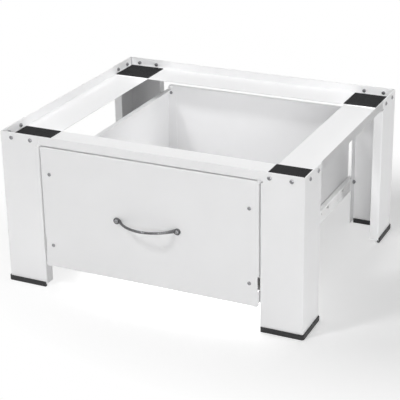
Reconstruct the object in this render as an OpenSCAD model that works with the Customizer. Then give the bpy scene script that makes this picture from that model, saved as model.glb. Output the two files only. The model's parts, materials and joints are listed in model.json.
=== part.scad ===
// Washer pedestal with a drawer: four folded sheet-steel legs carry a deck of four
// lipped rails, and a steel drawer runs between the legs on bottom-mounted roller slides.
// Origin: floor level, middle of the bounding box. +X right, +Y back, +Z up.

/* [Frame] */
// Width over the legs
frame_w = 630; // [600:5:680]
// Depth over the legs, without the handle
frame_d = 540; // [520:5:600]
// Height from the floor to the top of the lip
frame_h = 320; // [310:1:360]
// Thickness of the steel in legs and rails
frame_t = 1.2; // [1:0.1:1.4]
// Width of each outer flange of a leg
leg_flange = 85; // [80:1:90]
// Width of a side flange's folded-in edge
leg_return = 19; // [17:1:22]
// Width of a front or rear flange's folded-in edge, which carries a slide
leg_tab = 23; // [20:1:26]

/* [Deck] */
// Width of the flat part of each rail
rail_w = 85; // [84:1:90]
// Height of the lip above the front and rear rails
lip_h = 17.5; // [17:0.5:22]
// Width of a rubber pad, left to right
pad_w = 80; // [70:1:84]
// Depth of a rubber pad, front to back
pad_d = 76; // [70:1:77]
// Thickness of a rubber pad
pad_t = 1.5; // [1:0.5:2]

/* [Feet] */
// Height of the plastic strip round the foot of a leg
foot_h = 10; // [8:1:12]
// Thickness of that strip's walls, inside and outside the leg
foot_wall = 2.2; // [1.6:0.1:2.6]

/* [Drawer] */
// Height of the front panel's lower edge above the floor
front_z = 48; // [44:1:54]
// Height of the drawer box's underside above the floor
box_z = 77; // [75:0.5:80]
// Height of the drawer's sides
side_h = 182; // [160:1:188]
// How much the back stands higher than the sides
back_rise = 8; // [6:1:10]
// Thickness of the steel in the drawer box
box_t = 1; // [0.8:0.1:1.2]
// Radius of the front panel's lower corners
front_corner = 6; // [5:1:10]

/* [Slides] */
// Gap between drawer side and leg, filled by one slide
slide_gap = 12.5; // [12.3:0.1:13]
// How far the drawer opens
travel = 375; // [300:5:380]
// Radius of a slide roller
roller_r = 11; // [10.8:0.1:11]

/* [Handle] */
// Distance between the handle's two screws
handle_pitch = 128; // [96:32:160]
// How far the bow stands in front of the panel
handle_reach = 32.2; // [28:0.1:36]

/* [Hidden] */
$fn = 48;

// Colours
white = [0.93, 0.93, 0.94];
shade = [0.88, 0.88, 0.9];
black = [0.12, 0.12, 0.13];
steel = [0.6, 0.61, 0.63];
bright = [0.72, 0.73, 0.75];

// Shared sizes
hw = frame_w / 2;
hd = frame_d / 2;
bend = 1.3;                           // inner radius of every fold
fold = bend + frame_t;                // room that a fold takes from a flat
foot_web = 2;                         // floor of a foot strip, under the steel
seam = 0.3;                           // gap kept between lips and sheets that don't touch

// Deck
deck_z = frame_h - lip_h;             // top of the front and rear rails
side_deck_z = deck_z - frame_t;       // top of the side rails, tucked one sheet lower
return_top = side_deck_z - frame_t - 2.3;
return_low = 6;
relief_r = 2.2;
screw_offsets = [25, 67.5];           // from a leg's corner
screw_z = frame_h - 10.5;
pad_gap = 1;                          // between a pad and the nuts beside it

// Fasteners
m5_r = 2.5;
m5_head_r = 4.5;
m5_head_h = 2;
m5_nut_af = 8;
m5_nut_h = 4;
m4_r = 2;
m4_head_r = 3.7;
m4_head_h = 2.3;
m4_wide_r = 4.1;                      // heads of the deck screws
m4_wide_h = 2.8;
m4_nut_af = 7;
m4_nut_h = 3.2;
hole_play = 0.25;
nut_play = 0.05;
tail = 1.5;                           // screw end standing out of its nut

// Slides
slide_x = hw - leg_flange;            // face of a leg's fold that a channel is screwed to
box_hw = slide_x - slide_gap;         // outer face of a drawer side
slide_t = 1.2;
channel_z0 = box_z + 5;
channel_z1 = channel_z0 + 28;
channel_reach = 10.8;
channel_end = hd - 4;
roller_w = 7.4;
roller_z = channel_z0 + slide_t + seam + roller_r;
pin_r = 2.5;
pin_head_r = 4;
pin_head_h = 1;
bore_r = pin_r + 0.05;
front_roller_y = -hd + 32;
rear_roller_y = hd - 32;
runner_top = roller_z + roller_r + seam;
runner_front = -hd + 6;
runner_back = hd - 18;
runner_flange_end = rear_roller_y - 16;
stop_r = 2.5;
stop_play = 0.4;
// level distance between a roller's axis and a stop that it touches
stop_dy = sqrt(pow(roller_r + stop_r, 2) - pow(roller_z - channel_z0 - slide_t, 2)) + stop_play;
channel_screw_y = hd - 10;
channel_screw_z = channel_z0 + 18;
slot_len = 10;
slot_r = 2.3;
slot_ys = [100, 196];
slot_z = channel_z0 + 21.5;

// Drawer
face_back = -hd + frame_t;            // inner face of the front panel
box_back = hd - 9.3;                  // where the sides' rear tabs end
side_top = box_z + side_h;
back_top = side_top + back_rise;
tab_front = 18;
tab_rear = 22;
hem = 12;
back_hem = 7.5;
corner_cut = 3;                       // relief left open where two folds meet
front_hw = slide_x - 2.5;
front_top = deck_z - frame_t - 2;
front_return = 12;
fold_stop = front_corner + 3;         // side folds begin this far above the lower edge
top_corner = 3;
notch_z0 = channel_z0 - 2;
notch_z1 = channel_z1 + 1;
front_screw_x = box_hw - 8.5;
back_screw_x = box_hw - 9.5;
low_screw_z = box_z + 18;
front_screw_top = side_top - 14;
back_screw_top = side_top - 9;
rivet_x = box_hw - 7.5;
rivet_ys = [-200, 0, 200];
rivet_r = 2;
rivet_head_r = 3.5;
rivet_head_h = 1.2;
back_slot = [9, 2.5];
bottom_lip = 10;

// Middle of the bounding box, which the handle and the rear screws' heads end
origin_y = (handle_reach - m4_wide_h) / 2;

// Handle
handle_z = (front_z + front_top) / 2 - 0.5;
bow_r = 2.5;
foot_plate_r = 6.5;
foot_plate_t = 3;
taper = 16;                           // between the centres of a plate's round ends
tip_r = 3.1;                          // of the plate's end under the bow
bow_half = handle_pitch / 2 - 7;
bow_rise = handle_reach - bow_r - foot_plate_t / 2 - 0.1;
bow_radius = (pow(bow_half, 2) + pow(bow_rise, 2)) / (2 * bow_rise);
bow_angle = asin(bow_half / bow_radius);

// ---- helpers ----

function unit(v) = v / norm(v);

// Draws its children in the corner given by the signs sx and sy; they are written for +X +Y
module corner(sx, sy) {
    mirror([sx < 0 ? 1 : 0, 0, 0]) mirror([0, sy < 0 ? 1 : 0, 0]) children();
}

// Moves from the middle between the legs to the part's origin
module placed() translate([0, origin_y, 0]) children();

// Sheet of thickness t, folded square along the path of its middle surface
module sheet_2d(path, t, r = bend) {
    n = len(path);
    rm = r + t / 2;
    for (i = [0 : n - 2]) {
        d = unit(path[i + 1] - path[i]);
        a = path[i] + (i > 0 ? d * rm : [0, 0]);
        b = path[i + 1] - (i < n - 2 ? d * rm : [0, 0]);
        w = [-d[1], d[0]] * t / 2;
        polygon([a - w, b - w, b + w, a + w]);
    }
    if (n > 2) for (i = [1 : n - 2]) {
        d1 = unit(path[i] - path[i - 1]);
        d2 = unit(path[i + 1] - path[i]);
        c = path[i] + (d2 - d1) * rm;
        s = r + t;
        intersection() {
            translate(c) difference() {
                circle(s);
                circle(r);
            }
            polygon([c, c - d2 * s, c - d2 * s + d1 * s, c + d1 * s]);
        }
    }
}

// Extrusion along X of a profile drawn in Y and Z
module along_x(x0, x1) {
    translate([x0, 0, 0]) rotate([90, 0, 90]) linear_extrude(x1 - x0) children();
}

// Extrusion along Y of a profile drawn in X and Z
module along_y(y0, y1) {
    translate([0, y1, 0]) rotate([90, 0, 0]) linear_extrude(y1 - y0) children();
}

// Cylinder from p along the unit vector given by axis "x", "y" or "z"
module rod(p, r, h, axis = "z") {
    translate(p) rotate(axis == "x" ? [0, 90, 0] : axis == "y" ? [-90, 0, 0] : [0, 0, 0])
        cylinder(r = r, h = h);
}

// Plate outline with four round corners, centred
module round_rect_2d(w, d, r) {
    square([w - 2 * r, d], center = true);
    square([w, d - 2 * r], center = true);
    for (x = [-1, 1], y = [-1, 1])
        translate([x * (w / 2 - r), y * (d / 2 - r)]) circle(r);
}

// Pan-head screw along +Z: the head stands on z = 0 and the shank goes down
module pan_screw(r, head_r, head_h, length) {
    edge = head_h * 0.45;
    dome = (pow(head_r, 2) + pow(head_h - edge, 2)) / (2 * (head_h - edge));
    difference() {
        union() {
            intersection() {
                cylinder(r = head_r, h = head_h);
                translate([0, 0, head_h - dome]) sphere(dome);
            }
            translate([0, 0, -length]) cylinder(r = r, h = length);
        }
        for (a = [0, 90]) rotate(a)
            translate([0, 0, head_h]) cube([head_r, 0.8, head_h * 0.9], center = true);
    }
}

// Hexagon nut on z = 0, going down
module hex_nut(r, af, h) {
    translate([0, 0, -h]) difference() {
        cylinder(r = af / sqrt(3), h = h, $fn = 6);
        translate([0, 0, -1]) cylinder(r = r + nut_play, h = h + 2);
    }
}

// Places children, drawn along +Z, at the deck screws of all four corners.
// depth is the distance inwards from the outer face of the legs.
module at_deck_screws(depth = 0) {
    for (sx = [-1, 1], sy = [-1, 1]) corner(sx, sy) for (o = screw_offsets) {
        translate([hw - o, hd - depth, screw_z]) rotate([-90, 0, 0]) children();
        translate([hw - depth, hd - o, screw_z]) rotate([0, 90, 0]) children();
    }
}

// ---- legs and deck ----

leg_path = [
    [hw - leg_return, hd - leg_flange + frame_t / 2],
    [hw - frame_t / 2, hd - leg_flange + frame_t / 2],
    [hw - frame_t / 2, hd - frame_t / 2],
    [hw - leg_flange + frame_t / 2, hd - frame_t / 2],
    [hw - leg_flange + frame_t / 2, hd - leg_tab]
];
function angle_path(reach) = [
    [hw - frame_t / 2, hd - reach],
    [hw - frame_t / 2, hd - frame_t / 2],
    [hw - reach, hd - frame_t / 2]
];

module leg(sx, sy) {
    color(white) corner(sx, sy) difference() {
        union() {
            translate([0, 0, foot_web]) linear_extrude(frame_h - foot_web)
                sheet_2d(angle_path(leg_flange - fold), frame_t);
            translate([0, 0, return_low]) linear_extrude(return_top - return_low)
                sheet_2d(leg_path, frame_t);
            translate([0, 0, return_top + 2 * relief_r])
                linear_extrude(frame_h - return_top - 2 * relief_r)
                sheet_2d(angle_path(leg_flange), frame_t);
        }
        for (o = screw_offsets) {
            rod([hw - o, hd - 2 * frame_t, screw_z], m4_r + hole_play, 3 * frame_t, "y");
            rod([hw - 2 * frame_t, hd - o, screw_z], m4_r + hole_play, 3 * frame_t, "x");
        }
        rod([slide_x - 1, channel_screw_y, channel_screw_z], m5_r + hole_play, 4, "x");
        // round ends of the reliefs above the folded edges
        rod([slide_x + fold + 0.3, hd - 2 * frame_t, return_top + relief_r], relief_r, 3 * frame_t, "y");
        rod([hw - 2 * frame_t, hd - leg_flange + fold + 0.3, return_top + relief_r],
            relief_r, 3 * frame_t, "x");
    }
}

// Front and rear rails run the full width, with the lip inside the legs' flanges
module cross_rail(sy) {
    path = [
        [hd - rail_w, deck_z - frame_t / 2],
        [hd - 1.5 * frame_t, deck_z - frame_t / 2],
        [hd - 1.5 * frame_t, frame_h]
    ];
    half = hw - 2 * frame_t - bend - seam / 2;
    color(white) corner(1, sy) difference() {
        along_x(-half, half) sheet_2d(path, frame_t);
        for (sx = [-1, 1], o = screw_offsets)
            rod([sx * (hw - o), hd - 3 * frame_t, screw_z], m4_r + hole_play, 3 * frame_t, "y");
    }
}

// Side rails lie one sheet lower, so that the corners overlap under the pads
module side_rail(sx) {
    path = [
        [hw - rail_w, side_deck_z - frame_t / 2],
        [hw - 1.5 * frame_t, side_deck_z - frame_t / 2],
        [hw - 1.5 * frame_t, frame_h]
    ];
    half = hd - frame_t - bend - seam / 2;
    color(white) corner(sx, 1) difference() {
        along_y(-half, half) sheet_2d(path, frame_t);
        for (sy = [-1, 1], o = screw_offsets)
            rod([hw - 3 * frame_t, sy * (hd - o), screw_z], m4_r + hole_play, 3 * frame_t, "x");
    }
}

module pad(sx, sy) {
    inset = 2 * frame_t + m4_nut_h + pad_gap;
    x = hw - inset - pad_w / 2;
    y = hd - inset - pad_d / 2;
    color(black) corner(sx, sy) translate([x, y, deck_z])
        linear_extrude(pad_t) round_rect_2d(pad_w, pad_d, 1.5);
}

// Slotted strip pushed over the foot of both outer flanges
module foot(sx, sy) {
    slot = frame_t + 0.2;
    out = foot_wall + 0.1;
    reach = leg_flange - fold + 0.3;
    r = fold + out;
    side = reach + out;
    color(black) corner(sx, sy) difference() {
        linear_extrude(foot_h) difference() {
            union() {
                translate([hw - reach, hd - reach]) square([side - r, side]);
                translate([hw - reach, hd - reach]) square([side, side - r]);
                translate([hw + out - r, hd + out - r]) circle(r);
            }
            translate([hw - reach - 1, hd - reach - 1])
                square(side + 1 - slot - 2 * foot_wall);
        }
        translate([0, 0, foot_web]) linear_extrude(foot_h)
            sheet_2d(angle_path(leg_flange), slot, bend - 0.1);
    }
}

module deck_screws() {
    length = 2 * frame_t + m4_nut_h + tail;
    color(steel) at_deck_screws() pan_screw(m4_r, m4_wide_r, m4_wide_h, length);
}

module deck_nuts() {
    color(steel) at_deck_screws(2 * frame_t) hex_nut(m4_r, m4_nut_af, m4_nut_h);
}

// ---- slides ----

// Fixed C channel with two stops for the drawer's roller, drawn for the right side
module channel(sx) {
    path = [
        [slide_x - channel_reach, channel_z0 + slide_t / 2],
        [slide_x - slide_t / 2, channel_z0 + slide_t / 2],
        [slide_x - slide_t / 2, channel_z1 - slide_t / 2],
        [slide_x - channel_reach, channel_z1 - slide_t / 2]
    ];
    color(shade) corner(sx, 1) difference() {
        union() {
            along_y(-channel_end, channel_end) sheet_2d(path, slide_t);
            stop(rear_roller_y + stop_dy);
            stop(rear_roller_y - travel - stop_dy);
        }
        for (sy = [-1, 1]) {
            rod([slide_x - 3, sy * channel_screw_y, channel_screw_z], m5_r + hole_play, 4, "x");
            rod([slide_x - 3, sy * 60, slot_z], slot_r, 4, "x");
            for (y = slot_ys) channel_slot(sy * y);
        }
        rod([slide_x - 3, front_roller_y, roller_z], bore_r, 4, "x");
    }
}

// Half-round bump pressed up from the channel's lower flange
module stop(y) {
    x0 = slide_x - channel_reach;
    w = channel_reach - slide_t - bend;
    intersection() {
        rod([x0, y, channel_z0 + slide_t], stop_r, w, "x");
        translate([x0, y - stop_r, channel_z0 + slide_t / 2]) cube([w, 2 * stop_r, 2 * stop_r]);
    }
}

module channel_slot(y) {
    straight = slot_len - 2 * slot_r;
    for (s = [-1, 1])
        rod([slide_x - 3, y + s * straight / 2, slot_z], slot_r, 4, "x");
    translate([slide_x - 3, y - straight / 2, slot_z - slot_r]) cube([4, straight, 2 * slot_r]);
}

// Low-headed screws inside the channel, with their nuts behind the leg's fold
module channel_screws() {
    length = slide_t + frame_t + m5_nut_h + tail;
    color(steel) for (sx = [-1, 1], sy = [-1, 1]) corner(sx, sy)
        translate([slide_x - slide_t, channel_screw_y, channel_screw_z]) rotate([0, -90, 0])
        pan_screw(m5_r, m5_head_r, m5_head_h, length);
}

module channel_nuts() {
    color(steel) for (sx = [-1, 1], sy = [-1, 1]) corner(sx, sy)
        translate([slide_x + frame_t, channel_screw_y, channel_screw_z]) rotate([0, -90, 0])
        hex_nut(m5_r, m5_nut_af, m5_nut_h);
}

// Rivets that carry the fixed rollers, headed on both sides
module channel_pins() {
    x0 = slide_x - slide_t - seam - roller_w - pin_head_h - 0.2;
    color(steel) for (sx = [-1, 1]) corner(sx, 1) {
        rod([x0, front_roller_y, roller_z], pin_head_r, pin_head_h, "x");
        rod([x0, front_roller_y, roller_z], pin_r, slide_x - x0, "x");
        rod([slide_x, front_roller_y, roller_z], pin_head_r, pin_head_h, "x");
    }
}

// Nylon roller with a dished face, bored for its pin; x0 is its inner side
module roller(sx, y, x0) {
    rim = 2;
    hub = 5;
    dish = 1.2;
    edge = 0.5;
    color(white) corner(sx, 1) translate([x0, y, roller_z]) rotate([0, 90, 0])
        rotate_extrude() polygon([
            [bore_r, 0],
            [hub, 0],
            [hub, dish],
            [roller_r - rim, dish],
            [roller_r - rim, 0],
            [roller_r - edge, 0],
            [roller_r, edge],
            [roller_r, roller_w - edge],
            [roller_r - edge, roller_w],
            [roller_r - rim, roller_w],
            [roller_r - rim, roller_w - dish],
            [hub, roller_w - dish],
            [hub, roller_w],
            [bore_r, roller_w]
        ]);
}

module front_roller(sx) roller(sx, front_roller_y, slide_x - slide_t - seam - roller_w);
module rear_roller(sx) roller(sx, rear_roller_y, box_hw + slide_t + 1);

// Moving runner: a lip under the drawer side, a web beside it and a flange that
// rides on the fixed roller
module runner(sx) {
    lip_z = box_z - slide_t / 2;
    web_x = box_hw + slide_t / 2;
    path = [
        [box_hw - hem, lip_z],
        [web_x, lip_z],
        [web_x, runner_top + slide_t / 2],
        [box_hw + 9.5, runner_top + slide_t / 2]
    ];
    color(shade) corner(sx, 1) difference() {
        along_y(runner_front, runner_back) sheet_2d(path, slide_t);
        translate([box_hw + slide_t, runner_flange_end, runner_top - 2 * bend])
            cube([slide_gap, hd, 4 * bend + slide_t]);
        translate([box_hw - 1, runner_flange_end, runner_top - bend])
            cube([slide_gap, hd, 4 * bend + slide_t]);
        rod([box_hw - 1, rear_roller_y, roller_z], bore_r, 4, "x");
        for (y = rivet_ys) rod([rivet_x, y, box_z - 3], rivet_r + 0.1, 4);
    }
}

module runner_pins() {
    x1 = box_hw + slide_t + 1 + roller_w + 0.2;
    color(steel) for (sx = [-1, 1]) corner(sx, 1) {
        rod([box_hw, rear_roller_y, roller_z], pin_r, x1 - box_hw, "x");
        rod([x1, rear_roller_y, roller_z], pin_head_r, pin_head_h, "x");
    }
}

// ---- drawer ----

// Front panel: a flat face with folded edges; the side folds stop for the slides
module drawer_front() {
    face_y = -hd + frame_t / 2;
    flat_hw = front_hw - fold;
    color(white) difference() {
        union() {
            // face, with round lower corners
            along_y(-hd, face_back) front_outline_2d();
            // top and bottom folds
            for (e = [[front_top, 1, 6], [front_z, -1, front_corner + 6]])
                along_x(-front_hw + e[2], front_hw - e[2]) sheet_2d([
                    [face_y, e[0] - e[1] * 20],
                    [face_y, e[0] - e[1] * frame_t / 2],
                    [-hd + front_return, e[0] - e[1] * frame_t / 2]
                ], frame_t);
            // side folds, open beside the slides
            for (sx = [-1, 1], z = [[front_z + fold_stop, notch_z0], [notch_z1, front_top - 6]])
                translate([0, 0, z[0]]) linear_extrude(z[1] - z[0]) mirror([sx < 0 ? 1 : 0, 0])
                sheet_2d([
                    [flat_hw - 10, face_y],
                    [front_hw - frame_t / 2, face_y],
                    [front_hw - frame_t / 2, -hd + front_return]
                ], frame_t);
        }
        at_front_screws() rod([0, 0, -3], m4_r + hole_play, 6);
        for (s = [-1, 1])
            rod([s * handle_pitch / 2, -hd - 1, handle_z], m4_r + hole_play, 4, "y");
    }
}

// Outline of the flat face in X and Z: inside the folds, with a free patch at each corner
module front_outline_2d() {
    flat = [2 * (front_hw - fold), front_top - front_z - 2 * fold];
    translate([-flat[0] / 2, front_z + fold]) square(flat);
    for (sx = [0, 1]) mirror([sx, 0]) {
        translate([front_hw, front_z]) corner_patch_2d(front_corner, front_corner + 5, fold_stop - 1);
        translate([front_hw, front_top]) mirror([0, 1]) corner_patch_2d(top_corner, 5, 5);
    }
}

// Patch w wide and h tall that ends at the origin, with that corner round
module corner_patch_2d(r, w, h) {
    translate([-w, 0]) square([w - r, h]);
    translate([-r, r]) square([r, h - r]);
    translate([-r, r]) circle(r);
}

// Places children, drawn along +Z, on the front panel's face, pointing out
module at_front_screws(depth = 0) {
    for (sx = [-1, 1], z = [low_screw_z, front_screw_top])
        translate([sx * front_screw_x, -hd + depth, z]) rotate([90, 0, 0]) children();
}

module at_back_screws(depth = 0) {
    for (sx = [-1, 1], z = [low_screw_z, back_screw_top])
        translate([sx * back_screw_x, box_back - box_t + depth, z]) rotate([90, 0, 0]) children();
}

// Side: tabs folded in at front and back, hems folded in at top and bottom
module drawer_side(sx) {
    mid = box_hw - box_t / 2;
    color(white) corner(sx, 1) difference() {
        union() {
            translate([0, 0, box_z + corner_cut]) linear_extrude(side_h - 2 * corner_cut)
                sheet_2d([
                    [box_hw - tab_front, face_back + box_t / 2],
                    [mid, face_back + box_t / 2],
                    [mid, box_back - box_t / 2],
                    [box_hw - tab_rear, box_back - box_t / 2]
                ], box_t);
            along_y(face_back + corner_cut, box_back - corner_cut) sheet_2d([
                [box_hw - hem, box_z + box_t / 2],
                [mid, box_z + box_t / 2],
                [mid, side_top - box_t / 2],
                [box_hw - hem, side_top - box_t / 2]
            ], box_t);
        }
        at_front_screws() rod([0, 0, -5], m4_r + hole_play, 10);
        at_back_screws() rod([0, 0, -5], m4_r + hole_play, 10);
        for (y = rivet_ys) rod([rivet_x, y, box_z - 1], rivet_r + 0.1, 3);
    }
}

// Back: stands behind the sides' tabs, all four edges folded to the rear, a slot by each corner
module drawer_back() {
    mid = box_back + box_t / 2;
    half = box_hw - box_t;
    edge = half - box_t / 2;
    color(white) difference() {
        union() {
            along_x(-half + corner_cut, half - corner_cut) sheet_2d([
                [mid + back_hem, box_z + box_t / 2],
                [mid, box_z + box_t / 2],
                [mid, back_top - box_t / 2],
                [mid + back_hem, back_top - box_t / 2]
            ], box_t);
            translate([0, 0, box_z + corner_cut])
                linear_extrude(back_top - box_z - 2 * corner_cut)
                sheet_2d([
                    [-edge, mid + back_hem],
                    [-edge, mid],
                    [edge, mid],
                    [edge, mid + back_hem]
                ], box_t);
        }
        at_back_screws() rod([0, 0, -5], m4_r + hole_play, 10);
        for (s = [-1, 1])
            translate([s * (half - 3.2 - back_slot[0] / 2), mid, side_top + 4])
            cube([back_slot[0], 3 * box_t, back_slot[1]], center = true);
    }
}

// Bottom: a sheet on the sides' lower hems, turned up at front and back
module drawer_bottom() {
    z = box_z + 1.5 * box_t;
    y0 = face_back + box_t + seam + box_t / 2;
    y1 = box_back - box_t - seam - box_t / 2;
    half = box_hw - box_t - bend;
    color(white) difference() {
        union() {
            along_y(y0 + bend + box_t, y1 - bend - box_t)
                translate([-half, box_z + box_t]) square([2 * half, box_t]);
            along_x(-half + tab_rear, half - tab_rear)
                sheet_2d([[y0, z + bottom_lip], [y0, z], [y1, z], [y1, z + bottom_lip]], box_t);
        }
        for (sx = [-1, 1], y = rivet_ys)
            rod([sx * rivet_x, y, box_z], rivet_r + 0.1, 3);
    }
}

// Rivets through runner, side and bottom
module bottom_rivets() {
    stack = slide_t + 2 * box_t;
    z0 = box_z - slide_t;
    color(steel) for (sx = [-1, 1], y = rivet_ys) translate([sx * rivet_x, y, z0]) {
        cylinder(r = rivet_r, h = stack);
        rivet_head(stack);
        mirror([0, 0, 1]) rivet_head(0);
    }
}

module rivet_head(z) {
    dome = (pow(rivet_head_r, 2) + pow(rivet_head_h, 2)) / (2 * rivet_head_h);
    translate([0, 0, z]) intersection() {
        cylinder(r = rivet_head_r, h = rivet_head_h);
        translate([0, 0, rivet_head_h - dome]) sphere(dome);
    }
}

module front_screws() {
    length = frame_t + box_t + m4_nut_h + tail;
    color(steel) at_front_screws() pan_screw(m4_r, m4_head_r, m4_head_h, length);
}

module front_nuts() {
    color(steel) at_front_screws(frame_t + box_t) hex_nut(m4_r, m4_nut_af, m4_nut_h);
}

module back_screws() {
    length = 2 * box_t + m4_nut_h + tail;
    color(steel) at_back_screws() pan_screw(m4_r, m4_head_r, m4_head_h, length);
}

module back_nuts() {
    color(steel) at_back_screws(2 * box_t) hex_nut(m4_r, m4_nut_af, m4_nut_h);
}

// ---- handle ----

// Bow of round bar, level, on two plates that taper towards it
module handle() {
    color(bright) difference() {
        union() {
            translate([0, -hd - foot_plate_t / 2 - 0.1 - bow_rise + bow_radius, handle_z])
                rotate([0, 0, -90 - bow_angle]) rotate_extrude(angle = 2 * bow_angle)
                translate([bow_radius, 0]) circle(bow_r);
            for (s = [-1, 1]) mirror([s < 0 ? 1 : 0, 0, 0]) {
                rod([handle_pitch / 2, -hd - foot_plate_t, handle_z],
                    foot_plate_r, foot_plate_t, "y");
                rod([handle_pitch / 2 - taper, -hd - foot_plate_t, handle_z],
                    tip_r, foot_plate_t, "y");
                translate([handle_pitch / 2, -hd, handle_z]) rotate([90, 0, 0])
                    linear_extrude(foot_plate_t) taper_2d();
            }
        }
        for (s = [-1, 1])
            rod([s * handle_pitch / 2, -hd - foot_plate_t - 1, handle_z],
                m4_r + hole_play, foot_plate_t + 2, "y");
        translate([-handle_pitch, -hd, handle_z - 10]) cube([2 * handle_pitch, 10, 20]);
    }
}

// Flanks of a plate between its round ends
module taper_2d() {
    wide = foot_plate_r * 0.9;
    slim = tip_r * 0.8;
    polygon([[0, wide], [-taper, slim], [-taper, -slim], [0, -wide]]);
}

module at_handle_screws(y) {
    for (s = [-1, 1])
        translate([s * handle_pitch / 2, y, handle_z]) rotate([90, 0, 0]) children();
}

module handle_screws() {
    length = foot_plate_t + frame_t + m4_nut_h + tail;
    color(steel) at_handle_screws(-hd - foot_plate_t)
        pan_screw(m4_r, m4_head_r, m4_head_h, length);
}

module handle_nuts() {
    color(steel) at_handle_screws(face_back) hex_nut(m4_r, m4_nut_af, m4_nut_h);
}

// ---- one line for each node ----

placed() leg(-1, -1);  // leg_front_left
placed() leg(1, -1);  // leg_front_right
placed() leg(-1, 1);  // leg_rear_left
placed() leg(1, 1);  // leg_rear_right
placed() cross_rail(-1);  // rail_front
placed() cross_rail(1);  // rail_rear
placed() side_rail(-1);  // rail_left
placed() side_rail(1);  // rail_right
placed() pad(-1, -1);  // pad_front_left
placed() pad(1, -1);  // pad_front_right
placed() pad(-1, 1);  // pad_rear_left
placed() pad(1, 1);  // pad_rear_right
placed() foot(-1, -1);  // foot_front_left
placed() foot(1, -1);  // foot_front_right
placed() foot(-1, 1);  // foot_rear_left
placed() foot(1, 1);  // foot_rear_right
placed() deck_screws();
placed() deck_nuts();
placed() channel(-1);  // channel_left
placed() channel(1);  // channel_right
placed() channel_screws();
placed() channel_nuts();
placed() channel_pins();
placed() front_roller(-1);  // front_roller_left
placed() front_roller(1);  // front_roller_right
placed() rear_roller(-1);  // rear_roller_left
placed() rear_roller(1);  // rear_roller_right
placed() drawer_front();
placed() drawer_side(-1);  // drawer_side_left
placed() drawer_side(1);  // drawer_side_right
placed() drawer_back();
placed() drawer_bottom();
placed() runner(-1);  // runner_left
placed() runner(1);  // runner_right
placed() runner_pins();
placed() bottom_rivets();
placed() front_screws();
placed() front_nuts();
placed() back_screws();
placed() back_nuts();
placed() handle();
placed() handle_screws();
placed() handle_nuts();
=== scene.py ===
import json
import math

import bmesh
import bpy
from mathutils import Matrix, Vector


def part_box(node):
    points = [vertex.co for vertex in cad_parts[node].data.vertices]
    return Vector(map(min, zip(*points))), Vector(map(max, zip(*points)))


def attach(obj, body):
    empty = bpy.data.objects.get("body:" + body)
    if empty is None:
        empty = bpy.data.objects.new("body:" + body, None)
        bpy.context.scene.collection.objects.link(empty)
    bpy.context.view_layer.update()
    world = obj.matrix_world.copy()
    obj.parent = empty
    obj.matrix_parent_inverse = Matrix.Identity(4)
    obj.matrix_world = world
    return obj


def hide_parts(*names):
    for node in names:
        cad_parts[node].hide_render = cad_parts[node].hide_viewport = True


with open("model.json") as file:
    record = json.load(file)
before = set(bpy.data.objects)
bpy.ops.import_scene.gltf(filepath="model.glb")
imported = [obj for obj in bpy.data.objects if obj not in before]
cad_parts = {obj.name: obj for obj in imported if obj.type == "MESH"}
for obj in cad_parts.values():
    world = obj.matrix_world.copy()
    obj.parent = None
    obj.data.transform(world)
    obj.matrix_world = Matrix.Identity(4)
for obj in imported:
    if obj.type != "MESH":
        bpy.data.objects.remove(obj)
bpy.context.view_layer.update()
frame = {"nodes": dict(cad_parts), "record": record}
nodes = frame["nodes"]
slot_of = {p["node"]: p["material_slot"] for p in frame["record"]["subparts"]}

# ---------------------------------------------------------------- shader helpers

NOISE_LO, NOISE_HI = 0.3, 0.7      # most of a noise's values lie between these two
WHITE = (1, 1, 1, 1)


def material(name, **sockets):
    """A Principled material with its plain values set on the shader's own sockets."""
    m = bpy.data.materials.new(name)
    m.use_nodes = True
    nt = m.node_tree
    shader = nt.nodes["Principled BSDF"]
    for key, value in sockets.items():
        shader.inputs[key.replace("_", " ")].default_value = value
    return m, nt, shader


def add(nt, kind, **settings):
    """A new node in the tree nt, with its inputs and its own settings set by name."""
    n = nt.nodes.new(kind)
    for key, value in settings.items():
        socket = key.replace("_", " ")
        if socket in n.inputs:
            n.inputs[socket].default_value = value
        else:
            setattr(n, key, value)
    return n


def feed(nt, n, **outputs):
    """Links outputs of other nodes to a node's inputs by name."""
    for key, output in outputs.items():
        nt.links.new(output, n.inputs[key.replace("_", " ")])


def join(nt, kind, *outputs, **settings):
    """A new node whose inputs take these outputs in order; gives its own first output."""
    n = add(nt, kind, **settings)
    for socket, output in zip(n.inputs, outputs):
        nt.links.new(output, socket)
    return n.outputs[0]


def coords(nt, scale=(1, 1, 1)):
    """Object coordinates, in metres, stretched by scale."""
    mapping = add(nt, "ShaderNodeMapping", Scale=scale)
    feed(nt, mapping, Vector=add(nt, "ShaderNodeTexCoord").outputs["Object"])
    return mapping.outputs["Vector"]


def noise(nt, vector, scale, detail=3.0, rough=0.5):
    n = add(nt, "ShaderNodeTexNoise", Scale=scale, Detail=detail, Roughness=rough)
    feed(nt, n, Vector=vector)
    return n.outputs["Fac"]


def remap(nt, fac, lo, hi, out_lo, out_hi):
    n = add(nt, "ShaderNodeMapRange", From_Min=lo, From_Max=hi, To_Min=out_lo, To_Max=out_hi)
    feed(nt, n, Value=fac)
    return n.outputs["Result"]


def spread(nt, fac, out_lo, out_hi):
    """Stretches the usual values of a noise to a new range."""
    return remap(nt, fac, NOISE_LO, NOISE_HI, out_lo, out_hi)


def ramp(nt, fac, stops):
    """Colours at given values of fac: a list of (value, colour)."""
    n = add(nt, "ShaderNodeValToRGB")
    elements = n.color_ramp.elements
    for element, (value, color) in zip(elements, (stops[0], stops[-1])):
        element.position, element.color = value, (*color, 1)
    for value, color in stops[1:-1]:
        elements.new(value).color = (*color, 1)
    feed(nt, n, Fac=fac)
    return n.outputs["Color"]


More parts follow.
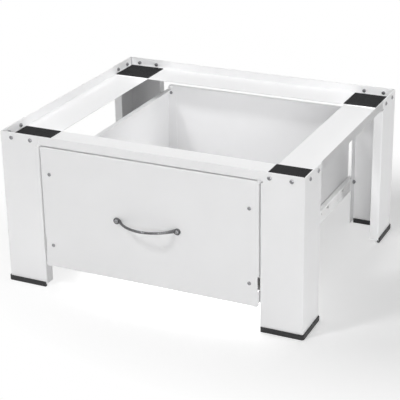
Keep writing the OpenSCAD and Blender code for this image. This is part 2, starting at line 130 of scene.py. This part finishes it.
def mix_color(nt, fac, a, b):
    """Goes from a to b with fac; each is a colour or the output of a node."""
    n = add(nt, "ShaderNodeMix", data_type="RGBA")
    feed(nt, n, Factor=fac)
    for key, v in (("A", a), ("B", b)):
        socket = [s for s in n.inputs if s.name == key and s.type == "RGBA"][0]
        if isinstance(v, tuple):
            socket.default_value = (*v, 1)
        else:
            nt.links.new(v, socket)
    return [s for s in n.outputs if s.type == "RGBA"][0]


def bump(nt, shader, layers):
    """Chain of bumps: each layer is (height, strength, distance)."""
    normal = None
    for height, strength, distance in layers:
        n = add(nt, "ShaderNodeBump", Strength=strength, Distance=distance)
        feed(nt, n, Height=height)
        if normal is not None:
            feed(nt, n, Normal=normal)
        normal = n.outputs["Normal"]
    feed(nt, shader, Normal=normal)


def darker(tint, by):
    return tuple(c * by for c in tint)


# ---------------------------------------------------------------- materials


def powder_coat(name, tint):
    """White powder coat: fine orange peel, slow gloss changes, faint specks."""
    m, nt, s = material(name, IOR=1.5)
    v = coords(nt)
    slow = noise(nt, v, 14, 2)
    fine = noise(nt, v, 620, 2, 0.6)
    peel = noise(nt, v, 330, 3, 0.55)
    body = mix_color(nt, spread(nt, slow, 0, 1), darker(tint, 0.985), tint)
    specks = remap(nt, noise(nt, v, 1500, 1), 0.76, 0.82, 0, 0.35)
    rough = join(nt, "ShaderNodeMath", spread(nt, slow, 0.34, 0.42), spread(nt, fine, -0.03, 0.04),
                 operation="ADD")
    feed(nt, s, Base_Color=mix_color(nt, specks, body, darker(tint, 0.8)), Roughness=rough)
    bump(nt, s, [(peel, 0.10, 0.0004), (fine, 0.05, 0.0002)])
    return m


def slide_coat(name):
    """Epoxy coat of the slides, rubbed along their length."""
    m, nt, s = material(name, IOR=1.5)
    v = coords(nt)
    streak = noise(nt, coords(nt, (900, 14, 900)), 1, 3, 0.6)
    patches = join(nt, "ShaderNodeMath", streak, noise(nt, v, 30, 2), operation="MULTIPLY")
    worn = remap(nt, patches, 0.30, 0.42, 0, 0.6)
    feed(nt, s, Base_Color=mix_color(nt, worn, (0.93, 0.93, 0.925), (0.74, 0.74, 0.73)),
         Roughness=spread(nt, streak, 0.30, 0.48))
    bump(nt, s, [(noise(nt, v, 420, 3), 0.12, 0.0003), (streak, 0.05, 0.0001)])
    return m


def rubber(name):
    """Black rubber with a fine grain and a little dust in it."""
    m, nt, s = material(name, IOR=1.4)
    v = coords(nt)
    grain = noise(nt, v, 1500, 4, 0.7)
    cloud = noise(nt, v, 60, 4, 0.6)
    base = ramp(nt, cloud, [(0.30, (0.008, 0.008, 0.009)),
                            (0.55, (0.011, 0.011, 0.012)),
                            (0.80, (0.018, 0.018, 0.019))])
    dust = remap(nt, grain, 0.64, 0.80, 0, 0.25)
    feed(nt, s, Base_Color=mix_color(nt, dust, base, (0.10, 0.10, 0.10)),
         Roughness=spread(nt, grain, 0.72, 0.95))
    bump(nt, s, [(grain, 0.45, 0.0004), (cloud, 0.15, 0.0006)])
    return m


def foot_plastic(name):
    """Black plastic, scuffed along the floor."""
    m, nt, s = material(name, IOR=1.5)
    grain = noise(nt, coords(nt), 1100, 3, 0.6)
    scuff = noise(nt, coords(nt, (60, 60, 700)), 1, 3, 0.6)
    pale = remap(nt, scuff, 0.55, 0.75, 0, 0.5)
    feed(nt, s, Base_Color=mix_color(nt, pale, (0.012, 0.012, 0.013), (0.04, 0.04, 0.042)),
         Roughness=spread(nt, scuff, 0.42, 0.62))
    bump(nt, s, [(grain, 0.25, 0.0003)])
    return m


def plated(name, tint):
    """Zinc plate: cloudy, with a fine grain."""
    m, nt, s = material(name, Metallic=1.0)
    v = coords(nt)
    cloud = noise(nt, v, 240, 3, 0.6)
    fine = noise(nt, v, 2600, 2, 0.6)
    feed(nt, s, Base_Color=mix_color(nt, spread(nt, cloud, 0, 1), darker(tint, 0.8), tint),
         Roughness=spread(nt, fine, 0.20, 0.34))
    bump(nt, s, [(fine, 0.10, 0.0001)])
    return m


def bow_metal(name):
    """Polished metal with fine lengthwise lines."""
    m, nt, s = material(name, Metallic=1.0)
    lines = noise(nt, coords(nt, (40, 900, 2600)), 1, 3, 0.6)
    cloud = spread(nt, noise(nt, coords(nt), 120, 2), 0, 1)
    feed(nt, s, Base_Color=mix_color(nt, cloud, (0.10, 0.10, 0.105), (0.17, 0.17, 0.175)),
         Roughness=spread(nt, lines, 0.14, 0.26))
    bump(nt, s, [(lines, 0.04, 0.0001)])
    return m


def nylon(name):
    """White nylon with a fine grain, which lets in a little light."""
    m, nt, s = material(name, IOR=1.53, Subsurface_Weight=0.15, Subsurface_Scale=0.002)
    v = coords(nt)
    grain = noise(nt, v, 900, 3, 0.6)
    cloud = spread(nt, noise(nt, v, 90, 2), 0, 1)
    feed(nt, s, Base_Color=mix_color(nt, cloud, (0.76, 0.76, 0.72), (0.82, 0.82, 0.79)),
         Roughness=spread(nt, grain, 0.36, 0.5))
    bump(nt, s, [(grain, 0.08, 0.0002)])
    return m


mats = {
    "white_steel": powder_coat("powder_coat_white", (0.90, 0.90, 0.905)),
    "slide_steel": slide_coat("slide_epoxy_white"),
    "pad_rubber": rubber("rubber_black"),
    "foot_plastic": foot_plastic("foot_plastic_black"),
    "plated_steel": plated("zinc_plate", (0.36, 0.36, 0.37)),
    "handle_metal": bow_metal("handle_metal"),
    "roller_nylon": nylon("nylon_white"),
}
for name, obj in nodes.items():
    obj.data.materials.clear()
    obj.data.materials.append(mats[slot_of[name]])

# ---------------------------------------------------------------- detailed pieces
# Their sizes are in mm, around the middle of the legs

MM = 0.001
SHIFT_Y = 14.7                     # from the middle of the legs to the origin
HALF_W, HALF_D = 315.0, 270.0      # over the legs
SHEET, BOX_SHEET = 1.2, 1.0        # thickness of the frame's and of the drawer's sheets
SIDES = (-1, 1)


def piece(name, bm, body, slot, node, sharp=35):
    """Finishes a bmesh as a piece of the object; folds over sharp degrees keep a sharp edge."""
    bmesh.ops.scale(bm, vec=(MM, MM, MM), verts=bm.verts)
    bmesh.ops.translate(bm, vec=(0, SHIFT_Y * MM, 0), verts=bm.verts)
    bmesh.ops.recalc_face_normals(bm, faces=bm.faces)
    mesh = bpy.data.meshes.new(name)
    bm.to_mesh(mesh)
    bm.free()
    for p in mesh.polygons:
        p.use_smooth = True
    mesh.set_sharp_from_angle(angle=math.radians(sharp))
    mesh.materials.append(mats[slot])
    obj = bpy.data.objects.new(name, mesh)
    bpy.context.scene.collection.objects.link(obj)
    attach(obj, body)
    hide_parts(node)


def grid(bm, rows, closed=True):
    """Skins rows of points, each row a ring (or an open line) of the same length."""
    made = [[bm.verts.new(p) for p in row] for row in rows]
    n = len(made[0])
    for a, b in zip(made, made[1:]):
        for i in range(n if closed else n - 1):
            j = (i + 1) % n
            bm.faces.new((a[i], a[j], b[j], b[i]))
    return made


def angles(count):
    return [2 * math.pi * i / count for i in range(count)]


def aim(x, y, z, axis):
    """Matrix that puts +Z along axis, a signed unit vector, with its foot at (x, y, z)."""
    turn = Vector((0, 0, 1)).rotation_difference(Vector(axis)).to_matrix().to_4x4()
    return Matrix.Translation((x, y, z)) @ turn


def turned(place):
    """A place turned about its own axis, differently from screw to screw."""
    x, y, z = place.translation
    turn = 0.5 + math.sin(x * 0.13 + y * 0.07 + z * 0.05)
    return place @ Matrix.Rotation(turn, 4, "Z")


def polar(radius, z, count, place):
    """Ring about a place's axis."""
    return [place @ Vector((radius * math.cos(a), radius * math.sin(a), z)) for a in angles(count)]


# Threads: radius, pitch, and their nut's width over flats and height
M4 = (2.0, 0.7, 7.0, 3.2)
M5 = (2.5, 0.8, 8.0, 4.0)
PAST_NUT = 1.5                     # how far a screw stands out of its nut
HEAD_SIDES, TIP_SIDES, NUT_SIDES = 48, 24, 72
DOME_RINGS, DOME_REACH = 12, 0.985     # the outermost dome ring, of the head's radius
RIM = 0.45                         # height of a head's rim, of the head's height
CROSS_REACH, CROSS_HALF = 0.56, 0.11   # of the head's radius
CROSS_DEPTH = 0.55                 # of the head's height
CROSS_SLOPE = 0.35                 # of the reach lengthwise, in mm across
THREAD_DEPTH = 0.55                # of the pitch
THREAD_STEPS = 16                  # for one turn
BORE_PLAY, BORE_CHAMFER = 0.05, 0.35
BORE_FLARE = 0.09                  # of half the width over flats
NUT_FACE = 0.94                    # flat circle of a nut's face, of half the width over flats
CHAMFER_SLOPE = 0.577              # 30 degrees


def clamp(v):
    return min(1.0, max(0.0, v))


def cross_depth(x, y, head_r, head_h):
    """Depth of a cross recess with sloping walls at (x, y)."""
    far, near = max(abs(x), abs(y)), min(abs(x), abs(y))
    reach = CROSS_REACH * head_r
    along = clamp((reach - far) / (CROSS_SLOPE * reach))
    across = clamp((CROSS_HALF * head_r + CROSS_SLOPE - near) / CROSS_SLOPE)
    return CROSS_DEPTH * head_h * along * across


def screw(bm, place, thread, head, length):
    """Pan head with a cross recess on z = 0, and a threaded shank going down."""
    r, pitch, _, _ = thread
    head_r, head_h = head
    rim = head_h * RIM
    dome = (head_r ** 2 + (head_h - rim) ** 2) / (2 * (head_h - rim))
    head_place = turned(place)
    rows = []
    for k in range(1, DOME_RINGS + 1):
        rho = head_r * DOME_REACH * k / DOME_RINGS
        top = head_h - dome + math.sqrt(dome ** 2 - rho ** 2)
        row = []
        for a in angles(HEAD_SIDES):
            x, y = rho * math.cos(a), rho * math.sin(a)
            row.append(head_place @ Vector((x, y, top - cross_depth(x, y, head_r, head_h))))
        rows.append(row)
    for rho, z in ((head_r, rim * 0.92), (head_r, rim * 0.3), (head_r * 0.96, 0.0), (r, 0.0)):
        rows.append(polar(rho, z, HEAD_SIDES, head_place))
    made = grid(bm, rows)
    bm.faces.new(made[0])
    # the thread is one spiral skin, held between the head and the tip
    core = r - THREAD_DEPTH * pitch
    steps = THREAD_STEPS * (int(length / pitch) + 2)
    skin = []
    for rise, rho in ((0.0, core), (0.5, r), (1.0, core)):
        line = []
        for u in range(steps + 1):
            a = 2 * math.pi * u / THREAD_STEPS
            z = -pitch * (u / THREAD_STEPS + rise) + pitch
            out = rho if -length < z < 0 else core
            z = min(0.0, max(-length, z))
            line.append(place @ Vector((out * math.cos(a), out * math.sin(a), z)))
        skin.append(line)
    grid(bm, skin, closed=False)
    tip = grid(bm, [polar(radius, -length, TIP_SIDES, place) for radius in (core, core * 0.5)])
    bm.faces.new(tip[1])


def nut(bm, place, thread):
    """Hexagon nut, chamfered on both faces, going down from z = 0."""
    r, _, flats, height = thread
    half = flats / 2
    bore, face = r + BORE_PLAY, half * NUT_FACE
    place = turned(place)

    def hexagon(z, way):
        row = []
        for a in angles(NUT_SIDES):
            rho = half / math.cos((a + math.pi / 6) % (math.pi / 3) - math.pi / 6)
            fall = way * (rho - face) * CHAMFER_SLOPE
            row.append(place @ Vector((rho * math.cos(a), rho * math.sin(a), z - fall)))
        return row

    def rings(*rows):
        return [polar(radius, z, NUT_SIDES, place) for radius, z in rows]

    flare = bore + BORE_FLARE * half
    low_bore = (bore, -height + BORE_CHAMFER)
    grid(bm, rings(low_bore, (flare, -height), (face, -height))
         + [hexagon(-height, -1), hexagon(0, 1)]
         + rings((face, 0), (flare, 0), (bore, -BORE_CHAMFER), low_bore))


def set_of(node, body, places, build):
    """One piece with a solid at each place, which stands for the node."""
    bm = bmesh.new()
    for place in places:
        build(bm, place)
    piece(node + "_detail", bm, body, "plated_steel", node)


def fasteners(kind, body, thread, head, stack, places):
    """Screws whose heads stand at places, and their nuts behind sheets that are stack thick."""
    length = stack + thread[-1] + PAST_NUT
    set_of(kind + "_screws", body, places, lambda bm, p: screw(bm, p, thread, head, length))
    behind = [place @ Matrix.Translation((0, 0, -stack)) for place in places]
    set_of(kind + "_nuts", body, behind, lambda bm, p: nut(bm, p, thread))


FORWARD = (0, -1, 0)
PAN_HEAD = (3.7, 2.3)              # radius and height, as for the heads below
DECK_HEAD, DECK_OFFSETS, DECK_SCREW_Z = (4.1, 2.8), (25.0, 67.5), 309.5
deck_places = []
for sx in SIDES:
    for sy in SIDES:
        for offset in DECK_OFFSETS:
            deck_places.append(aim(sx * (HALF_W - offset), sy * HALF_D, DECK_SCREW_Z, (0, sy, 0)))
            deck_places.append(aim(sx * HALF_W, sy * (HALF_D - offset), DECK_SCREW_Z, (sx, 0, 0)))
fasteners("deck", "frame", M4, DECK_HEAD, 2 * SHEET, deck_places)

SLIDE_X = 230.0                    # where the slides' channels lie against the legs
CHANNEL_HEAD, CHANNEL_SCREW_Y, CHANNEL_SCREW_Z = (4.5, 2.0), 260.0, 100.0
fasteners("channel", "frame", M5, CHANNEL_HEAD, 2 * SHEET,
          [aim(sx * (SLIDE_X - SHEET), sy * CHANNEL_SCREW_Y, CHANNEL_SCREW_Z, (-sx, 0, 0))
           for sx in SIDES for sy in SIDES])

BOX_HALF_W = 217.5                 # over the drawer's sides
BOX_BACK = HALF_D - 9.3            # where the drawer's back lies against the sides' tabs
FRONT_X, FRONT_Z = BOX_HALF_W - 8.5, (95.0, 245.0)
BACK_X, BACK_Z = BOX_HALF_W - 9.5, (95.0, 250.0)
fasteners("front", "drawer", M4, PAN_HEAD, SHEET + BOX_SHEET,
          [aim(sx * FRONT_X, -HALF_D, z, FORWARD) for sx in SIDES for z in FRONT_Z])
fasteners("back", "drawer", M4, PAN_HEAD, 2 * BOX_SHEET,
          [aim(sx * BACK_X, BOX_BACK - BOX_SHEET, z, FORWARD) for sx in SIDES for z in BACK_Z])

HANDLE_HALF, HANDLE_Z = 64.0, 173.15   # half the distance between the handle's screws
PLATE_T = 3.0
fasteners("handle", "drawer", M4, PAN_HEAD, PLATE_T + SHEET,
          [aim(sx * HANDLE_HALF, -HALF_D - PLATE_T, HANDLE_Z, FORWARD) for sx in SIDES])

# Bow handle: a bar that thickens towards two egg-shaped plates with rounded rims
PLATE_R, TIP_R, TIP_D = 6.5, 3.6, 5.9  # large end, small end and the distance between them
PLATE_RIM, PLATE_BORE, PLATE_SIDES = 0.8, 2.25, 72
RIM_ANGLES = (22, 45, 67, 90)
BOW_R, BOW_RISE, BOW_HALF = 2.48, 28.1, 57.0
BOW_STEPS, BOW_SIDES = 72, 32
BOW_SINK = PLATE_T / 2 + 0.1       # from the drawer's front to the ends of the bow's middle line
FLARE_FROM, FLARE_WIDE, FLARE_TALL = 0.72, 0.3, 1.5
BOW_RADIUS = (BOW_HALF ** 2 + BOW_RISE ** 2) / (2 * BOW_RISE)
BOW_ANGLE = math.asin(BOW_HALF / BOW_RADIUS)


def at_screw(side, y, points):
    """Ring at a handle screw from (x, z) points, whose +x points away from the handle's middle."""
    return [Vector((side * (HANDLE_HALF + x), y, HANDLE_Z + z)) for x, z in points]


def plate_ring(side, y, inset):
    """Ring round a plate, whose small end points to the middle of the handle."""
    points = []
    for a in angles(PLATE_SIDES):
        x, z = math.cos(a), math.sin(a)
        if PLATE_R >= TIP_R - TIP_D * x:
            points.append((x * (PLATE_R - inset), z * (PLATE_R - inset)))
        else:
            points.append((x * (TIP_R - inset) - TIP_D, z * (TIP_R - inset)))
    return at_screw(side, y, points)


def hole_ring(side, y):
    return at_screw(side, y, [(PLATE_BORE * math.cos(a), PLATE_BORE * math.sin(a))
                              for a in angles(PLATE_SIDES)])


bm = bmesh.new()
front = -HALF_D - PLATE_T
for side in SIDES:
    rows = [hole_ring(side, -HALF_D), plate_ring(side, -HALF_D, 0.0),
            plate_ring(side, front + PLATE_RIM, 0.0)]
    for a in (math.radians(d) for d in RIM_ANGLES):
        rows.append(plate_ring(side, front + PLATE_RIM * (1 - math.sin(a)),
                               PLATE_RIM * (1 - math.cos(a))))
    rows += [hole_ring(side, front), hole_ring(side, -HALF_D)]
    grid(bm, rows)
arc_middle = Vector((0, -HALF_D - BOW_SINK - BOW_RISE + BOW_RADIUS, HANDLE_Z))
rows = []
for k in range(BOW_STEPS + 1):
    share = 2 * k / BOW_STEPS - 1
    turn = BOW_ANGLE * share
    out = Vector((math.sin(turn), -math.cos(turn), 0))
    flare = max(0.0, (abs(share) - FLARE_FROM) / (1 - FLARE_FROM)) ** 2
    wide, tall = BOW_R + FLARE_WIDE * flare, BOW_R + FLARE_TALL * flare
    rows.append([arc_middle + out * (BOW_RADIUS + wide * math.cos(a))
                 + Vector((0, 0, tall * math.sin(a))) for a in angles(BOW_SIDES)])
made = grid(bm, rows)
bm.faces.new(made[0])
bm.faces.new(made[-1])
piece("handle_detail", bm, "drawer", "handle_metal", "handle")

# Rubber pads with fine ribs from side to side and a plain margin round them
RIBS, RIB_DEPTH, MARGIN, PAD_EDGE = 30, 0.35, 2.5, 0.3
RIB_TOP, GROOVE_FROM, GROOVE_TO = 0.3, 0.4, 0.9    # of the pitch of the ribs
RIBBED = None
# distance from the pad's left or right side, and how far the top lies below full height there
STATIONS = [(0.0, PAD_EDGE), (PAD_EDGE, 0.0), (MARGIN, 0.0), (MARGIN + 0.01, RIBBED)]
for node in ("pad_front_left", "pad_front_right", "pad_rear_left", "pad_rear_right"):
    lo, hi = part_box(node)
    x0, x1, z0, z1 = (v / MM for v in (lo[0], hi[0], lo[2], hi[2]))
    y0, y1 = lo[1] / MM - SHIFT_Y, hi[1] / MM - SHIFT_Y
    step = (y1 - y0 - 2 * MARGIN) / RIBS
    profile = [(y0, z0), (y0, z1 - PAD_EDGE), (y0 + PAD_EDGE, z1)]
    for k in range(RIBS):
        y = y0 + MARGIN + k * step
        profile += [(y, z1), (y + RIB_TOP * step, z1)]
        profile += [(y + share * step, z1 - RIB_DEPTH) for share in (GROOVE_FROM, GROOVE_TO)]
    profile += [(y1 - MARGIN, z1), (y1 - PAD_EDGE, z1), (y1, z1 - PAD_EDGE), (y1, z0)]
    rows = []
    for x, drop in ([(x0 + d, drop) for d, drop in STATIONS]
                    + [(x1 - d, drop) for d, drop in reversed(STATIONS)]):
        row = []
        for y, z in profile:
            if drop is not RIBBED and z > z0:
                z = min(z, z1 - drop) if y in (y0, y1) else z1 - drop
            row.append(Vector((x, y, z)))
        rows.append(row)
    bm = bmesh.new()
    made = grid(bm, rows)
    bm.faces.new(made[0])
    bm.faces.new(made[-1])
    piece(node + "_ribbed", bm, "frame", "pad_rubber", node, 30)

# Rolled edges of the sheets and the foot strips
EDGE_WIDTH, FOLD = 0.00022, 50     # metres, and the degrees from which an edge is rolled
for name, obj in nodes.items():
    if slot_of[name] in ("white_steel", "slide_steel", "foot_plastic"):
        rim = obj.modifiers.new("edge", "BEVEL")
        rim.width = EDGE_WIDTH
        rim.segments = 2
        rim.limit_method = "ANGLE"
        rim.angle_limit = math.radians(FOLD)

# ---------------------------------------------------------------- stage and light
# Sizes are in metres from here on

scene = bpy.context.scene
scene.view_settings.view_transform = "Standard"
FLOOR_X, FLOOR_NEAR, FLOOR_FAR = 9, -6, 14
BOUNCE = 0.80                      # grey of the floor that throws light back
SEEN, GLOW = 0.78, 0.47            # grey and own light of the floor that is looked at
OVAL_X, OVAL_Y = (0.25, 0.62), (0.10, 0.46)    # middle and reach of the shadow's surroundings
OVAL_FADE = (0.75, 1.35)           # of the reach
WORLD = 0.15


def sheet(name, z, look):
    """A level sheet of the stage, which isn't part of the object."""
    mesh = bpy.data.meshes.new(name)
    mesh.from_pydata([(-FLOOR_X, FLOOR_NEAR, z), (FLOOR_X, FLOOR_NEAR, z),
                      (FLOOR_X, FLOOR_FAR, z), (-FLOOR_X, FLOOR_FAR, z)], [], [(0, 1, 2, 3)])
    mesh.materials.append(look)
    obj = bpy.data.objects.new(name, mesh)
    scene.collection.objects.link(obj)
    return obj


# The floor that throws light back onto the object
floor_white, _, _ = material("floor_white", Roughness=0.9, Specular_IOR_Level=0.1,
                             Base_Color=(BOUNCE, BOUNCE, BOUNCE, 1))
floor = sheet("floor", -0.001, floor_white)
floor.visible_camera = floor.visible_glossy = floor.visible_transmission = False

# The floor that is looked at: it keeps the key's shadow and fades into plain white round about
floor_look, nt, _ = material("floor_look")
seen = add(nt, "ShaderNodeBsdfDiffuse", Color=(SEEN, SEEN, SEEN, 1))
glow = add(nt, "ShaderNodeEmission", Strength=GLOW)
both = join(nt, "ShaderNodeAddShader", seen.outputs[0], glow.outputs[0])
oval = add(nt, "ShaderNodeMapping", Scale=(1 / OVAL_X[1], 1 / OVAL_Y[1], 1),
           Location=(-OVAL_X[0] / OVAL_X[1], -OVAL_Y[0] / OVAL_Y[1], 0))
feed(nt, oval, Vector=add(nt, "ShaderNodeTexCoord").outputs["Object"])
away = add(nt, "ShaderNodeVectorMath", operation="LENGTH")
feed(nt, away, Vector=oval.outputs["Vector"])
fade = remap(nt, away.outputs["Value"], *OVAL_FADE, 0, 1)
white = add(nt, "ShaderNodeEmission", Strength=1.0)
feed(nt, nt.nodes["Material Output"],
     Surface=join(nt, "ShaderNodeMixShader", fade, both, white.outputs[0]))
floor_seen = sheet("floor_seen", 0.0, floor_look)
floor_seen.visible_diffuse = floor_seen.visible_shadow = False

# The world lights the object a little, and is plain white where it is seen
world = bpy.data.worlds.new("studio")
scene.world = world
world.use_nodes = True
nt = world.node_tree
sky = nt.nodes["Background"]
sky.inputs["Color"].default_value = WHITE
sky.inputs["Strength"].default_value = WORLD
back = add(nt, "ShaderNodeBackground", Color=WHITE, Strength=1.0)
path = add(nt, "ShaderNodeLightPath")
plain = path.outputs["Is Camera Ray"]
for kind in ("Is Glossy Ray", "Is Transmission Ray"):
    plain = join(nt, "ShaderNodeMath", plain, path.outputs[kind], operation="MAXIMUM")
feed(nt, nt.nodes["World Output"],
     Surface=join(nt, "ShaderNodeMixShader", plain, sky.outputs[0], back.outputs[0]))


def lamp(name, place, target, size, watts, group):
    """A rectangular lamp that lights only what its group says."""
    data = bpy.data.lights.new(name, "AREA")
    data.shape = "RECTANGLE"
    data.size, data.size_y = size
    data.energy = watts
    obj = bpy.data.objects.new(name, data)
    scene.collection.objects.link(obj)
    obj.location = place
    obj.rotation_euler = (Vector(target) - Vector(place)).to_track_quat("-Z", "Y").to_euler()
    obj.visible_camera = False
    obj.light_linking.receiver_collection = group


# What a lamp lights: only these objects, or all but these. Of the main lamps only the key
# reaches the floor that is looked at, so that its shadow alone shows there.
ONLY, ALL_BUT = "INCLUDE", "EXCLUDE"
GROUPS = (
    ("all_but_seen_floor", ALL_BUT, ["floor_seen"]),
    ("seen_floor", ONLY, ["floor_seen"]),
    ("inner_lips", ONLY, ["rail_left", "rail_rear"]),
    ("rear_lip", ONLY, ["rail_rear"]),
    ("left_lip", ONLY, ["rail_left"]),
    ("drawer_walls", ONLY, ["drawer_side_right", "drawer_back", "drawer_front"]),
    ("drawer_left_wall", ONLY, ["drawer_side_left"]),
    ("rear_right", ONLY, ["leg_rear_right"]),
    ("right_channel", ONLY, ["channel_right"]),
    ("front_left_leg", ONLY, ["leg_front_left"]),
    ("right_legs", ONLY, ["leg_front_right", "leg_rear_right"]),
    ("right_rail", ONLY, ["rail_right"]),
    ("all_but_left_wall", ALL_BUT, ["drawer_side_left"]),
    ("drawer_rear_left", ONLY, ["drawer_back", "drawer_side_left"]),
    ("all_but_floor_rail_and_leg", ALL_BUT, ["floor_seen", "rail_right", "leg_rear_left"]),
    ("all_but_floor_and_leg", ALL_BUT, ["floor_seen", "leg_rear_left"]),
)
lit = {}
for name, state, members in GROUPS:
    lit[name] = bpy.data.collections.new(name)
    for member in members:
        lit[name].objects.link(floor_seen if member == "floor_seen" else nodes[member])
    for entry in lit[name].collection_objects:
        entry.light_linking.link_state = state

# Name, place, target, size, watts and group. Five main lamps light the object as a whole;
# the others are small fills, each for one to three pieces or for the floor under the drawer.
MIDDLE = (0, 0, 0.15)
LAMPS = (
    ("top_soft", (0.1, 0.3, 3.0), MIDDLE, (2.4, 2.4), 39, "all_but_floor_and_leg"),
    ("key_left", (-1.15, -2.05, 2.8), MIDDLE, (0.5, 0.5), 29, "all_but_left_wall"),
    ("top_right", (1.7, 0.2, 2.4), MIDDLE, (1.6, 1.6), 13, "all_but_floor_rail_and_leg"),
    ("front_right", (1.9, -2.8, 1.0), MIDDLE, (1.4, 0.9), 30, "all_but_floor_rail_and_leg"),
    ("drawer_fill", (0, -0.02, 0.3), (0, -0.02, 0), (0.38, 0.36), 0.38, "drawer_walls"),
    ("under_fill", (0.03, -0.17, 0.07), (0.03, -0.17, 0), (0.36, 0.12), 0.5, "seen_floor"),
    ("front_low", (-1.3, -2.4, 0.45), MIDDLE, (1.2, 0.5), 2.8, "all_but_seen_floor"),
    ("lip_fill", (1.5, -0.55, 0.42), (-0.1, 0.1, 0.31), (0.6, 0.1), 2.6, "inner_lips"),
    ("rear_lip_right", (0.28, 0.17, 0.328), (0.29, 0.285, 0.328), (0.04, 0.02), 0.038, "rear_lip"),
    ("rear_lip_left", (-0.26, 0.17, 0.328), (-0.26, 0.285, 0.328), (0.06, 0.02), 0.02, "rear_lip"),
    ("left_lip_front", (-0.2, -0.22, 0.328), (-0.31, -0.23, 0.328), (0.06, 0.02), 0.03, "left_lip"),
    ("left_lip_rear", (-0.2, 0.21, 0.328), (-0.31, 0.22, 0.328), (0.06, 0.02), 0.02, "left_lip"),
    ("rear_fill", (0.55, -1.1, 0.2), (0.28, 0.2, 0.08), (0.3, 0.2), 2.7, "rear_right"),
    ("channel_fill", (1.0, 0.16, 0.25), (0.24, 0.16, 0.1), (0.3, 0.2), 1.3, "right_channel"),
    ("left_wall_fill", (0.06, 0.14, 0.18), (-0.216, 0.16, 0.15), (0.3, 0.1), 0.165,
     "drawer_left_wall"),
    ("corner_fill", (-0.06, 0.02, 0.17), (-0.2, 0.257, 0.1), (0.1, 0.1), 0.03, "drawer_rear_left"),
    ("right_low", (0.5, 0, 0.03), (0.315, 0, 0.03), (1.0, 0.04), 0.16, "right_legs"),
    ("left_low", (-0.28, -0.48, 0.03), (-0.28, -0.285, 0.03), (0.3, 0.04), 0.045, "front_left_leg"),
    ("rail_top", (0.25, 0, 1.3), (0.27, 0, 0.3), (0.3, 0.6), 1.9, "right_rail"),
)
for name, place, target, size, watts, group in LAMPS:
    lamp(name, place, target, size, watts, lit[group])

# ---------------------------------------------------------------- camera
# Solved from the corners of legs, deck and front panel in the photograph

PHOTO_PX, FOCAL_PX, CENTRE_PX = 400, 1254, (208, 160)
SENSOR_MM, SIGHT = 36, 60          # the camera's own choices: film width, and how far it sees
EYE = (1.014, -2.173, 1.144)       # from the middle of the legs
PITCH, ROLL, YAW = 21.29, -0.78, 24.95

pitch, roll, yaw = (math.radians(a) for a in (PITCH, ROLL, YAW))
level = Vector((math.cos(yaw), math.sin(yaw), 0))
ahead = Vector((-math.cos(pitch) * math.sin(yaw), math.cos(pitch) * math.cos(yaw),
                -math.sin(pitch)))
above = level.cross(ahead)
right = math.cos(roll) * level + math.sin(roll) * above
up = -math.sin(roll) * level + math.cos(roll) * above
cam = bpy.data.objects.new("camera", bpy.data.cameras.new("camera"))
scene.collection.objects.link(cam)
cam.matrix_world = Matrix((
    (right.x, up.x, -ahead.x, EYE[0]),
    (right.y, up.y, -ahead.y, EYE[1] + SHIFT_Y * MM),
    (right.z, up.z, -ahead.z, EYE[2]),
    (0, 0, 0, 1),
))
cam.data.sensor_width = SENSOR_MM
cam.data.lens = FOCAL_PX * SENSOR_MM / PHOTO_PX
cam.data.shift_x = (PHOTO_PX / 2 - CENTRE_PX[0]) / PHOTO_PX
cam.data.shift_y = (CENTRE_PX[1] - PHOTO_PX / 2) / PHOTO_PX
cam.data.clip_end = SIGHT
scene.camera = cam

bpy.context.view_layer.update()
